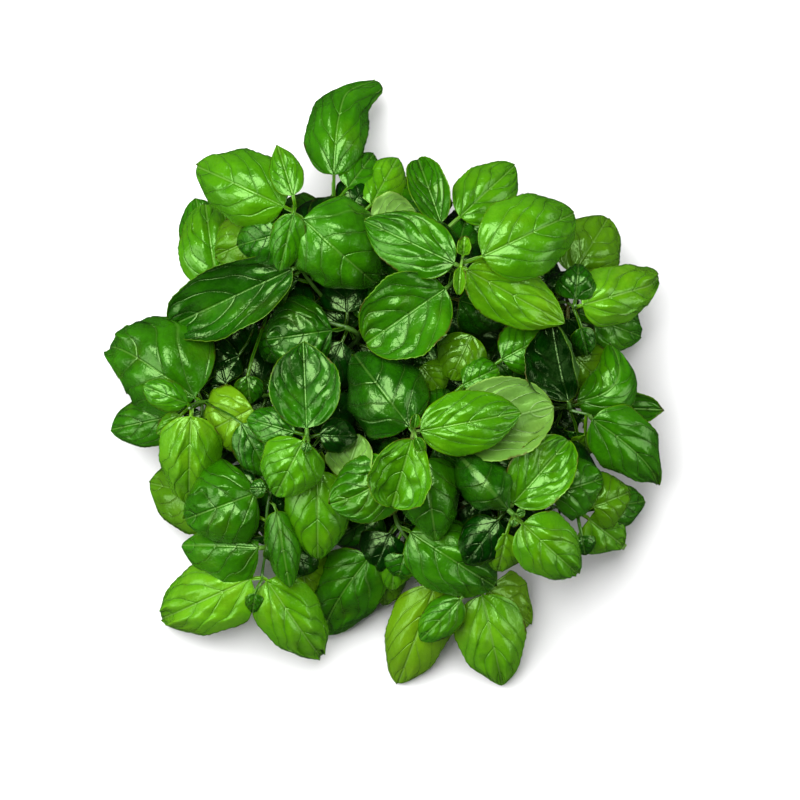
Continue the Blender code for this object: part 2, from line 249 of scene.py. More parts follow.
SPRIGS = (
    Sprig(
        "north_west",
        (-10, 16),
        (
            Node(
                (-43, 57, 68),
                Leaf("c", (-108, 27, 48), 39, arch=(-4, 2), fold=10, curl=35, stalk=2, tone=Tone.DARK),
            ),
            Node(
                (-46, 84, 82),
                Leaf(
                    "a", (-95, 107, 58), 41, arch=(16, 16), curl=-45, roll=-4, stalk=2, tone=Tone.FRESH,
                    quilt=0.7, blunt=0.48,
                ),
                Leaf(
                    "b", (-5, 48, 62), 50, arch=(18, 18), curl=-50, roll=8, stalk=3, dome=1.2, quilt=1.1,
                    blunt=0.48,
                ),
            ),
        ),
        (-45, 86, 90),
        (
            Small((-45, 86, 90), Leaf("e", (-53, 54, 74), 18, (4, 4), stalk=1)),
            Small(
                (-45, 88, 90),
                Leaf("s", (-54, 117, 80), 17, (4, 4), curl=-10, tone=Tone.FRESH, stalk=1, blunt=1.0),
            ),
            Small((-44, 80, 66), Leaf("w", (-86, 62, 46), 36, (6, 6), tone=Tone.OLIVE)),
        ),
    ),
    Sprig(
        "north",
        (-3, 22),
        (
            Node(
                (-26, 82, 56),
                Leaf(
                    "a", (-15, 154, 12), 34, arch=(18, 24), curl=-45, sweep=-7, stalk=16, hook=10, quilt=1.2,
                    blunt=0.45,
                ),
            ),
        ),
        (-31, 85, 61),
        (
            Small((-25, 88, 56), Leaf("n", (-6, 114, 34), 22, (8, 8))),
            Small((-16, 72, 60), Leaf("z", (6, 112, 38), 24, (6, 6), tone=Tone.FRESH, stalk=16)),
            Small((-16, 74, 66), Leaf("u", (15, 84, 62), 26, (8, 8), roll=165, tone=Tone.BRIGHT)),
        ),
    ),
    Sprig(
        "north_east",
        (12, 18),
        (
            Node((32, 47, 90), Leaf("a", (-10, 18, 89), 44, arch=(2, 4), fold=8, curl=25, stalk=1)),
            Node(
                (37, 56, 102),
                Leaf(
                    "b", (94, 83, 78), 43, arch=(18, 22), curl=-25, stalk=8, tone=Tone.FRESH, quilt=0.8,
                    blunt=0.48,
                ),
                Leaf("c", (-11, 79, 88), 31, arch=(4, 6), fold=8, curl=-10, stalk=1, blunt=0.8, quilt=1.1),
                Leaf(
                    "d", (89, 28, 80), 31, arch=(0, 4), curl=-10, stalk=1, tone=Tone.BRIGHT, quilt=1.3,
                    blunt=0.85,
                ),
            ),
        ),
        (38, 60, 107),
        (
            Small(
                (38, 60, 107),
                Leaf("p", (39, 71, 112), 8, (2, 2), fold=20, curl=30, tone=Tone.BRIGHT, stalk=1),
            ),
            Small(
                (37, 58, 107),
                Leaf("q", (36, 42, 110), 7, (2, 2), fold=20, curl=30, tone=Tone.BRIGHT, stalk=1),
            ),
        ),
    ),
    Sprig(
        "north_north_east",
        (6, 24),
        (
            Node(
                (29, 74, 66),
                Leaf("a", (16, 111, 46), 20, arch=(6, 8), fold=12, curl=10, stalk=2),
                Leaf("b", (65, 108, 38), 29, arch=(8, 10), fold=8, stalk=8, tone=Tone.FRESH),
            ),
        ),
        (28, 78, 70),
        (Small((30, 71, 62), Leaf("w", (64, 74, 56), 25, (4, 4), tone=Tone.DARK)),),
    ),
    Sprig(
        "east",
        (24, 8),
        (
            Node(
                (84, 38, 56),
                Leaf("a", (112, 82, 28), 36, arch=(12, 14), curl=-30, stalk=14, tone=Tone.OLIVE, blunt=0.4),
                Leaf("b", (129, 22, 20), 34, arch=(8, 10), curl=-10, stalk=10),
            ),
            Node(
                (94, 36, 76),
                Leaf("c", (96, 58, 64), 24, arch=(10, 14), curl=-50, stalk=1, tone=Tone.DARK),
                Leaf(
                    "d", (138, 49, 34), 33, arch=(12, 16), curl=-45, roll=4, stalk=1, tone=Tone.BRIGHT,
                    quilt=1.4, hook=-4, blunt=0.45,
                ),
            ),
        ),
        (94, 37, 82),
        (
            Small((95, 35, 72), Leaf("e", (101, 12, 58), 13, (4, 4), tone=Tone.DARK)),
            Small((86, 20, 46), Leaf("f", (113, -6, 42), 27, (6, 6), tone=Tone.OLIVE)),
        ),
    ),
    Sprig(
        "east_south_east",
        (26, -5),
        (
            Node((83, -12, 43)),
            Node(
                (90, -13, 51),
                Leaf("c", (140, -15, 30), 18, arch=(1, 2), fold=15, curl=20, stalk=10, blunt=1.1),
            ),
            Node(
                (91, -13, 57),
                Leaf("a", (113, 18, 46), 28, arch=(8, 12), curl=-45, sweep=17, stalk=2, blunt=0.5),
            ),
            Node(
                (92, -15, 65),
                Leaf(
                    "b", (83, 29, 68), 35, arch=(-2, -4), fold=20, curl=45, roll=-15, stalk=3, tone=Tone.DEEP,
                ),
            ),
            Node(
                (100, -17, 66),
                Leaf(
                    "d", (137, -53, 22), 33, arch=(12, 14), fold=8, curl=-25, sweep=-5, stalk=1, ruffle=2,
                    blunt=1.0,
                ),
            ),
        ),
        (102, -18, 69),
        (
            Small((97, -17, 52), Leaf("j", (95, -31, 42), 14, (4, 4), tone=Tone.DARK)),
            Small((99, -19, 58), Leaf("k", (101, -38, 36), 16, (4, 4), tone=Tone.OLIVE)),
            Small((90, -15, 48), Leaf("l", (84, -24, 40), 12, (3, 3), tone=Tone.DARK)),
        ),
    ),
    Sprig(
        "south_east",
        (20, -14),
        (
            Node(
                (74, -59, 58),
                Leaf("a", (109, -49, 48), 39, arch=(15, 12), curl=-45, roll=8, stalk=5, quilt=1.4),
            ),
            Node(
                (97, -66, 50),
                Leaf("b", (123, -56, 30), 33, arch=(8, 10), curl=-45, roll=8, stalk=4, tone=Tone.OLIVE),
                Leaf("c", (119, -83, 6), 33, arch=(12, 15), curl=-30, stalk=3, tone=Tone.BRIGHT),
            ),
        ),
        (96, -68, 53),
        (
            Small((96, -66, 46), Leaf("d", (131, -61, 18), 24, (6, 8))),
            Small((96, -69, 50), Leaf("e", (100, -88, 44), 14, (4, 4), tone=Tone.DARK)),
        ),
    ),
    Sprig(
        "south_south_east",
        (12, -22),
        (
            Node(
                (61, -64, 80),
                Leaf(
                    "a", (91, -30, 74), 31, arch=(6, 6), fold=6, curl=8, stalk=1, tone=Tone.FRESH, quilt=1.1,
                ),
            ),
            Node(
                (63, -67, 90),
                Leaf("b", (36, -37, 88), 28, arch=(8, 8), fold=-25, curl=-75, stalk=1, tone=Tone.DARK),
                Leaf(
                    "c", (96, -97, 60), 33, arch=(14, 16), curl=-30, stalk=3, tone=Tone.FRESH, blunt=0.5,
                    quilt=1.5,
                ),
            ),
        ),
        (64, -67, 94),
        (
            Small((62, -67, 82), Leaf("d", (56, -96, 60), 22, (6, 8), tone=Tone.OLIVE)),
            Small((64, -67, 95), Leaf("p", (69, -65, 98), 5, (1, 1), fold=25, tone=Tone.DARK, stalk=0.5)),
            Small((64, -68, 95), Leaf("q", (63, -73, 97), 5, (1, 1), fold=25, tone=Tone.DARK, stalk=0.5)),
        ),
    ),
    Sprig(
        "middle",
        (-6, 8),
        (
            Node(
                (18, -30, 84),
                Leaf("a", (83, -13, 74), 42, arch=(6, 8), curl=-15, roll=174, stalk=12, tone=Tone.FRESH),
            ),
            Node(
                (18, -31, 92),
                Leaf("b", (-28, -62, 85), 34, arch=(4, 6), curl=-10, sweep=-6, stalk=14, quilt=1.4),
                Leaf("c", (25, -81, 66), 39, arch=(14, 16), fold=-8, curl=-45, stalk=5, quilt=0.8),
            ),
            Node(
                (14, -26, 103),
                Leaf("d", (-16, 13, 76), 43, arch=(12, 14), curl=-45, stalk=1, tone=Tone.DARK, dome=1.6),
                Leaf("e", (3, -63, 92), 34, arch=(2, -2), fold=10, curl=30, stalk=1, tone=Tone.FRESH),
                Leaf(
                    "f", (67, -16, 98), 32, arch=(6, 8), fold=6, curl=-15, stalk=1, tone=Tone.FRESH,
                    blunt=0.75,
                ),
            ),
        ),
        (14, -25, 110),
        (
            Small((12, 14, 74), Leaf("g", (28, -6, 72), 22, (5, 5), tone=Tone.OLIVE)),
            Small((46, 30, 74), Leaf("h", (32, 0, 76), 26, (5, 5), tone=Tone.OLIVE, wet=0.6)),
            Small((31, -6, 76), Leaf("i", (56, 6, 78), 22, (5, 5), wet=0.6)),
            Small((50, 6, 68), Leaf("j", (81, 23, 66), 28, (5, 5), wet=0.6)),
            Small((32, -36, 70), Leaf("k", (64, -49, 62), 20, (5, 5), tone=Tone.DARK, wet=1)),
            Small((14, -25, 110), Leaf("p", (15, -17, 114), 6, (1, 1), fold=25, curl=20, stalk=0.5)),
            Small((14, -27, 110), Leaf("q", (18, -35, 112), 7, (1, 1), fold=25, curl=20, stalk=0.5)),
        ),
    ),
    Sprig(
        "south",
        (2, -24),
        (
            Node(
                (6, -72, 56),
                Leaf("a", (-32, -129, 4), 38, arch=(12, 14), curl=-30, sweep=5, stalk=20),
                Leaf("b", (55, -104, 34), 41, arch=(20, 18), curl=-45, stalk=4, blunt=0.5, quilt=1.3),
            ),
            Node(
                (28, -94, 42),
                Leaf(
                    "c", (6, -154, 2), 33, arch=(10, 14), curl=-30, stalk=8, tone=Tone.LIME, blunt=0.55,
                    quilt=0.6,
                ),
            ),
            Node(
                (47, -102, 38),
                Leaf(
                    "d", (59, -155, 2), 36, arch=(12, 14), curl=-20, stalk=3, tone=Tone.BRIGHT, quilt=1.2,
                    blunt=0.7,
                ),
                Leaf("e", (73, -124, 4), 34, arch=(6, 6), curl=-10, roll=-10, stalk=3, tone=Tone.LIME),
            ),
        ),
        (46, -100, 43),
        (
            Small((6, -74, 54), Leaf("f", (3, -106, 36), 20, (6, 6), tone=Tone.FRESH)),
            Small((2, -84, 40), Leaf("g", (-1, -114, 16), 20, (6, 6), tone=Tone.OLIVE)),
            Small((44, -103, 44), Leaf("h", (17, -131, 32), 20, (6, 8))),
        ),
    ),
    Sprig(
        "south_west",
        (-14, -18),
        (
            Node(
                (-56, -53, 65),
                Leaf("a", (-101, -70, 52), 47, arch=(21, 18), curl=-45, stalk=6, quilt=1.3, blunt=0.5),
            ),
            Node(
                (-60, -84, 60),
                Leaf("b", (-103, -83, 40), 39, arch=(8, 8), fold=-20, curl=-20, roll=10, stalk=1),
            ),
            Node(
                (-62, -97, 52),
                Leaf(
                    "c", (-114, -121, 5), 39, arch=(14, 16), curl=-25, stalk=3, tone=Tone.BRIGHT, quilt=1.6,
                    blunt=0.5,
                ),
                Leaf(
                    "d", (-33, -140, 8), 34, arch=(18, 20), curl=-30, stalk=1, tone=Tone.BRIGHT, blunt=0.5,
                    quilt=1.6,
                ),
            ),
        ),
        (-62, -100, 55),
        (
            Small((-64, -98, 56), Leaf("e", (-67, -117, 46), 10, (3, 3), tone=Tone.DARK)),
            Small((-56, -56, 74), Leaf("f", (-48, -104, 60), 21, (6, 6), fold=-20)),
            Small((-44, -76, 44), Leaf("g", (-40, -110, 20), 28, (6, 6), tone=Tone.LIME)),
            Small((-72, -62, 42), Leaf("h", (-120, -52, 16), 42, (8, 8), tone=Tone.OLIVE)),
            Small((-56, -54, 76), Leaf("i", (-68, -54, 76), 10, (2, 2), tone=Tone.DARK, stalk=2)),
        ),
    ),
    Sprig(
        "west_middle",
        (8, 2),
        (
            Node(
                (-34, -36, 80),
                Leaf("a", (-34, -90, 56), 35, arch=(12, 14), curl=-35, stalk=6, tone=Tone.FRESH, quilt=0.8),
            ),
            Node(
                (-39, -27, 101),
                Leaf(
                    "b", (-41, 19, 98), 36, arch=(2, 2), fold=6, curl=10, stalk=1, tone=Tone.DARK, quilt=0.8,
                    blunt=1.0,
                ),
                Leaf("c", (-55, -58, 88), 34, arch=(10, 8), curl=-30, stalk=1, tone=Tone.FRESH, quilt=1.1),
            ),
        ),
        (-38, -29, 106),
        (
            Small((-41, -27, 96), Leaf("d", (-69, -19, 90), 20, (4, 4), tone=Tone.DARK, stalk=2)),
            Small((-37, -27, 96), Leaf("e", (-14, -28, 92), 18, (4, 4), tone=Tone.DEEP, stalk=2)),
            Small((-38, -30, 106), Leaf("p", (-40, -36, 109), 6, (1, 1), fold=20, tone=Tone.DARK, stalk=0.5)),
            Small((-23, -56, 76), Leaf("f", (-13, -27, 86), 24, (4, 4), roll=170, tone=Tone.FRESH)),
        ),
    ),
    Sprig(
        "west",
        (-22, -4),
        (
            Node(
                (-92, -11, 60),
                Leaf(
                    "a", (-140, 16, 18), 57, arch=(20, 24), curl=-40, roll=-12, sweep=5, stalk=1, dome=1.3,
                    quilt=1.5, blunt=0.4,
                ),
            ),
            Node(
                (-97, -14, 72),
                Leaf("b", (-99, -63, 36), 33, arch=(14, 10), curl=-30, stalk=1, tone=Tone.BRIGHT, quilt=1.4),
            ),
        ),
        (-98, -14, 76),
        (
            Small((-96, -13, 70), Leaf("c", (-121, -3, 74), 16, (5, 4), stalk=2)),
            Small((-99, -15, 64), Leaf("d", (-115, -27, 54), 10, (3, 3), tone=Tone.FRESH, stalk=2)),
            Small((-96, -16, 50), Leaf("e", (-139, -25, 26), 26, (6, 6))),
            Small((-58, -10, 64), Leaf("f", (-91, -27, 56), 36, (6, 6), tone=Tone.LIME)),
            Small((-76, -14, 70), Leaf("g", (-58, -48, 68), 22, (6, 6), tone=Tone.DARK)),
        ),
    ),
    Sprig(
        "west_north_west",
        (-18, 10),
        (
            Node(
                (-19, 26, 48),
                Leaf("a", (-60, 20, 56), 42, arch=(12, 8), curl=-35, stalk=8, tone=Tone.DARK),
            ),
            Node(
                (-84, 41, 34),
                Leaf(
                    "b", (-91, 89, 30), 35, arch=(16, 14), curl=-30, stalk=2, tone=Tone.FRESH, blunt=0.5,
                    quilt=1.4,
                ),
            ),
        ),
        (-87, 42, 35),
        (
            Small((-70, 10, 52), Leaf("c", (-68, -12, 54), 16, (4, 4), tone=Tone.DARK, wet=0.6)),
            Small((-66, 16, 40), Leaf("d", (-92, 4, 38), 28, (5, 5), tone=Tone.DEEP)),
            Small((-84, 40, 30), Leaf("e", (-101, 37, 26), 12, (3, 3), tone=Tone.DARK)),
            Small((-86, 46, 30), Leaf("f", (-96, 92, 22), 26, (5, 5))),
        ),
    ),
)


def smooth(low: float, high: float, value: float) -> float:
    """A smooth step.

    Args:
        low: the value at which it starts to rise.
        high: the value at which it has reached 1.
        value: where to read it.

    Returns:
        A number from 0 to 1.
    """
    share = min(max((value - low) / (high - low), 0), 1)
    return share * share * (3 - 2 * share)


@dataclass
class GrownLeaf:
    """A leaf in its place: the shape of its blade, and of the relief on it.

    Args:
        leaf: the leaf's row in the table.
        at: the place on the stem where it grows.
        lift: how far it is raised above the table's height.
        seed: a number that makes its ripples its own.
        stem: the points of the stem it grows on, where its stalk is joined on to one.
    """

    leaf: Leaf
    at: Point
    lift: float
    seed: float
    stem: tuple[Vector, ...] = ()

    def __post_init__(self) -> None:
        """Works out what every point of the blade needs."""
        start = Vector(self.at)
        self.end = Vector(self.leaf.tip)
        chord = self.end - start
        self.stalk = self.leaf.stalk / chord.length
        self.right = chord.cross(Vector((0, 0, 1))).normalized()
        up = self.right.cross(chord).normalized()
        self.start = start + (chord.normalized() + up).normalized() * STALK_START
        chord = self.end - self.start
        sideways = self.right * self.leaf.sweep
        raised = self.start + Vector((0, 0, self.lift))
        self.steady = self.right.cross(chord).normalized()
        nearest = min(self.stem, key=lambda place: (place - raised).length, default=raised)
        self.root = nearest - Vector((0, 0, self.lift))
        self.near = self.start + chord / 3 + up * self.leaf.arch[0] + sideways
        self.far = self.start + chord * 2 / 3 + up * self.leaf.arch[1] + sideways

    def frame(self, along: float) -> tuple[Vector, Vector, Vector]:
        """Where the midrib is and how the blade stands there.

        Args:
            along: the place along the leaf, from 0 at the stem to 1 at the tip.

        Returns:
            The midrib's point, and the blade's rightward and upward directions.
        """
        back = 1 - along
        start, near, far, end = self.start, self.near, self.far, self.end
        point = back**3 * start + 3 * back**2 * along * near + 3 * back * along**2 * far + along**3 * end
        heading = back**2 * (near - start) + 2 * back * along * (far - near) + along**2 * (end - far)
        heading.normalize()
        right = (self.right - self.right.dot(heading) * heading).normalized()
        up = right.cross(heading)
        roll = math.radians(self.leaf.roll)
        rolled = right * math.cos(roll) - up * math.sin(roll)
        return point, rolled, up * math.cos(roll) + right * math.sin(roll)

    def droop(self, along: float) -> Vector:
        """Which way the halves of the blade rise from the midrib: mostly the same way all along the leaf."""
        roll = math.radians(self.leaf.roll)
        steady = self.steady * math.cos(roll) + self.right * math.sin(roll)
        return (self.frame(along)[2] * (1 - STEADINESS) + steady * STEADINESS).normalized()

    def outline(self, blade: float) -> float:
        """Half the blade's width in mm at a share of the way from its base to its tip."""
        opens, closes = BROADEST
        peak = opens / (opens + closes)
        blade = min(max(blade, 0), 1)
        share = (blade / peak) ** opens * ((1 - blade) / (1 - peak)) ** closes
        return max(self.leaf.width / 2 * share, STALK_WIDTH / 2 * (1 - blade) + TIP_WIDTH / 2 * blade)

    def section(self, across: float) -> tuple[float, float, float]:
        """The blade's cross-section.

        Args:
            across: the place across the blade, from -1 at its left edge to 1 at its right edge.

        Returns:
            How far that place lies sideways and up, in half-widths, and how far the blade is turned there.
        """
        fold = math.radians(self.leaf.fold)
        curl = math.radians(self.leaf.curl) or NEARLY_ZERO
        turned = fold + curl * abs(across)
        sideways = (math.sin(turned) - math.sin(fold)) / curl
        up = (math.cos(fold) - math.cos(turned)) / curl
        return math.copysign(sideways, across), up, math.copysign(turned, across)

    def domed(self, across: float, blade: float) -> tuple[float, float, float]:
        """The shown blade's cross-section, which bends further than the frame's and looks as wide from above.

        Args:
            across: the place across the blade, from -1 at its left edge to 1 at its right edge.
            blade: the place along the blade, from 0 to 1.

        Returns:
            How far that place lies sideways and up, in half-widths, and how far the blade is turned there.
        """
        plain, _, _ = self.section(1.0)
        fold = math.radians(self.leaf.fold)
        curl = math.radians(self.leaf.curl)
        curl += math.radians(math.copysign(DOMING * self.leaf.dome, curl)) * smooth(0, 0.25, blade)
        turned = fold + curl * abs(across)
        wide = plain / ((math.sin(fold + curl) - math.sin(fold)) / curl)
        sideways = (math.sin(turned) - math.sin(fold)) / curl * wide
        up = (math.cos(fold) - math.cos(turned)) / curl * wide
        return math.copysign(sideways, across), up + DOME_RISE * (wide - 1), math.copysign(turned, across)

    def plain_height(self) -> float:
        """The highest point of the frame's own coarse leaf before it is lifted, in mm."""
        stalk_row = FRAME_STALK_ROWS / FRAME_ROWS_ALONG
        highest = 0.0
        for step in range(FRAME_ROWS_ALONG + 1):
            row = step / FRAME_ROWS_ALONG
            blade = (row - stalk_row) / (1 - stalk_row)
            along = row / stalk_row * self.stalk if blade <= 0 else self.stalk + blade * (1 - self.stalk)
            half = STALK_WIDTH / 2 if blade <= 0 else self.outline(blade)
            point, right, up = self.frame(along)
            for place in range(-FRAME_ROWS_ACROSS // 2, FRAME_ROWS_ACROSS // 2 + 1):
                sideways, upwards, _ = self.section(place * 2 / FRAME_ROWS_ACROSS)
                highest = max(highest, (point + right * sideways * half + up * upwards * half).z)
        return highest

    def phase(self, blade: float, across: float) -> float:
        """Which side vein passes a place of the blade: a whole number on a vein, and halves between two."""
        side = abs(across)
        lean = VEIN_LEAN[0] * side + VEIN_LEAN[1] * side * side
        uneven = 1 + VEIN_OFFSET * math.copysign(1, across) * math.sin(self.seed)
        wander = VEIN_WANDER * noise.noise(Vector((blade * 2.6, across * 1.9, self.seed)))
        back = blade - lean * uneven
        back *= 1 + VEIN_CROWDING - VEIN_CROWDING * back if back > 0 else 1 - VEIN_CROWDING
        return (back + wander * side) * VEIN_PAIRS

    def swelling(self, blade: float, across: float) -> float:
        """How far the blade stands up between two side veins at a place, about 1 at most and uneven."""
        phase = self.phase(blade, across)
        between = phase - math.floor(phase)
        pillow = math.sin(math.pi * between)
        row = math.floor(phase) * 2.7 + self.seed + math.copysign(1.3, across)
        lasting = 0.72 + 0.5 * noise.noise(Vector((row, self.seed, 0)))
        return pillow * (lasting + 0.28 * math.cos(math.tau * (abs(across) * 1.9 + row)))

    def puckers(self, blade: float, across: float) -> float:
        """How far the blade's irregular puckers stand up at a place, in mm for a leaf of the full width."""
        height = 0.0
        for along, sideways, place, high in PUCKERS:
            height += noise.noise(Vector((blade * along, across * sideways, self.seed + place))) * high
        return height * (PUCKER_SHARE + (1 - PUCKER_SHARE) * self.leaf.quilt)

    def relief(self, blade: float, across: float) -> float:
        """How far the blade swells out of its smooth shape at a place, in mm."""
        side = abs(across)
        size = self.leaf.width / FULL_WIDTH
        inside = smooth(0, 0.3, side) * (1 - 0.75 * smooth(0.72, 1, side))
        ends = smooth(0.0, 0.16, blade) * (1 - smooth(0.86, 1, blade))
        swell = QUILT_HEIGHT * self.leaf.quilt * self.swelling(blade, across) * inside * ends
        pucker = self.puckers(blade, across) * inside * ends
        near = math.exp(-((side * self.outline(blade) / GROOVE_WIDTH) ** 2))
        groove = GROOVE_DEPTH * near * smooth(0.02, 0.12, blade)
        wave = math.sin(math.tau * (blade * 2.6 + math.copysign(0.21, across) + self.seed)) * side**3.2
        wave += noise.noise(Vector((blade * 2.3, across * 1.4, self.seed + 3))) * 1.6 * side
        return size * (swell + pucker - groove + wave * EDGE_LIFT * self.leaf.ruffle * ends)

    def wave(self, blade: float, across: float) -> float:
        """How far the edge waves up and down at a place, in mm."""
        wave = math.sin(math.tau * (blade * 2.1 + math.copysign(0.21, across) + self.seed)) * abs(across) ** 3
        return wave * WAVE_HEIGHT * self.leaf.width / FULL_WIDTH * self.leaf.ruffle * smooth(0, 0.2, blade)

    def margin(self, blade: float) -> float:
        """How far a tooth of the edge stands out at a place along the blade, in mm."""
        reach = blade * TEETH + self.seed
        tooth = TOOTH_HEIGHT * (reach - math.floor(reach)) ** 1.4
        return tooth * self.leaf.width / FULL_WIDTH * smooth(0.15, 0.4, blade) * (1 - smooth(0.93, 1, blade))

    def seen_share(self, blade: float) -> float:
        """How far along the blade a place lies seen from above, so that a drooping tip still ends rounded."""
        base, _, _ = self.frame(self.stalk)
        along = (self.end - base).to_2d()
        place, _, _ = self.frame(self.stalk + blade * (1 - self.stalk))
        seen = (place - base).to_2d().dot(along) / max(along.length_squared, NEARLY_ZERO)
        return min(max(seen * SEEN_WEIGHT + blade * (1 - SEEN_WEIGHT), 0.0), 1.0)

    def half_width(self, blade: float) -> float:
        """Half the blade's shown width in mm: widest below its middle, round at its base, blunt-tipped."""
        blade = self.seen_share(blade)
        middle, base = ROUNDNESS
        if blade < WIDEST:
            share = (1 - (1 - blade / WIDEST) ** middle) ** base
        else:
            share = (1 - ((blade - WIDEST) / (1 - WIDEST)) ** middle) ** self.leaf.blunt
        return max(self.leaf.width / 2 * share, STALK_HALF_WIDTH * (1 - blade) + NARROWEST)


class LeafMesh:
    """Builds leaves as thin sheets in one mesh, each with its place and look written on its points.

    Args:
        name: the piece's name.
    """

    def __init__(self, name: str) -> None:
        """Starts an empty mesh."""
        self.name = name
        self.mesh = bmesh.new()
        self.place = self.mesh.verts.layers.float_vector.new("leaf_place")
        self.look = self.mesh.verts.layers.float_vector.new("leaf_look")
        self.weights = self.mesh.verts.layers.deform.verify()

    def add(self, grown: GrownLeaf, rows: int, columns: int, stalk_rows: int) -> None:
        """Adds one leaf.

        Args:
            grown: the leaf in its place.
            rows: how many strips it has along its length.
            columns: how many strips it has across.
            stalk_rows: how many of the rows are its stalk.
        """
        made = bmesh.ops.create_grid(self.mesh, x_segments=columns, y_segments=rows, size=0.5)
        stalk_row = stalk_rows / rows
        leaf = grown.leaf
        for vertex in made["verts"]:
            across = vertex.co.x * 2
            row = vertex.co.y + 0.5
            blade = (row - stalk_row) / (1 - stalk_row)
            if blade <= NEARLY_ZERO:
                blade = 0.0
                along = row / stalk_row * grown.stalk
            else:
                blade = min(blade, 1.0)
                along = grown.stalk + blade * (1 - grown.stalk)
            half = grown.half_width(blade) if blade else STALK_HALF_WIDTH
            half += grown.margin(blade) * abs(across) ** 8
            point, right, up = grown.frame(along)
            sideways, upwards, turned = grown.domed(across, blade)
            outward = up * math.cos(turned) - right * math.sin(turned)
            relief = grown.relief(blade, across) if blade else STALK_SWELLING * (1 - across * across)
            hooked = leaf.hook * smooth(0.6, 1, blade) ** 1.5
            if not blade:
                point = point + (grown.root - grown.start) * (1 - row / stalk_row) ** 2
            risen = upwards * half + grown.wave(blade, across)
            point = point + right * (sideways * half + hooked) + grown.droop(along) * risen + outward * relief
            point.x -= MIDDLE[0]
            point.y -= MIDDLE[1]
            above = point.z + grown.lift - LOWEST
            point.z = LOWEST + (above + math.hypot(above, FLOOR_SOFTNESS)) / 2
            vertex.co = point * MM
            rib = abs(across) * half if blade else STALK_RIB
            vertex[self.place] = (grown.phase(blade, across), rib, (1 - abs(across)) * half)
            vertex[self.look] = (*leaf.tone.value, leaf.wet)
            rib_width = RIB_WIDTH * (1 - 0.75 * blade) * min(1, leaf.width / 30)
            slim = 1 - smooth(0.5, 1, blade)
            thick = math.exp(-((rib / rib_width) ** 2)) * (0.15 + 0.85 * slim)
            vertex[self.weights][0] = thick if blade else 1.0

    def piece(self, upper: bpy.types.Material, under: bpy.types.Material, rib: float) -> bpy.types.Object:
        """Gives the sheets their thickness and finishes.

        Args:
            upper: the finish of the upper face.
            under: the finish of the lower face.
            rib: the thickness of the midrib, in mm.

        Returns:
            The finished piece.
        """
        data = bpy.data.meshes.new(self.name)
        self.mesh.to_mesh(data)
        self.mesh.free()
        data.shade_smooth()
        data.materials.append(upper)
        data.materials.append(under)
        piece = bpy.data.objects.new(self.name, data)
        bpy.context.scene.collection.objects.link(piece)
        piece.vertex_groups.new(name="midrib")
        blade = piece.modifiers.new("Blade", "SOLIDIFY")
        blade.thickness = rib * MM
        blade.offset = -1
        blade.vertex_group = "midrib"
        blade.thickness_vertex_group = BLADE_THICKNESS / rib
        blade.material_offset = 1
        blade.material_offset_rim = 0
        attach(piece, BODY)
        return piece


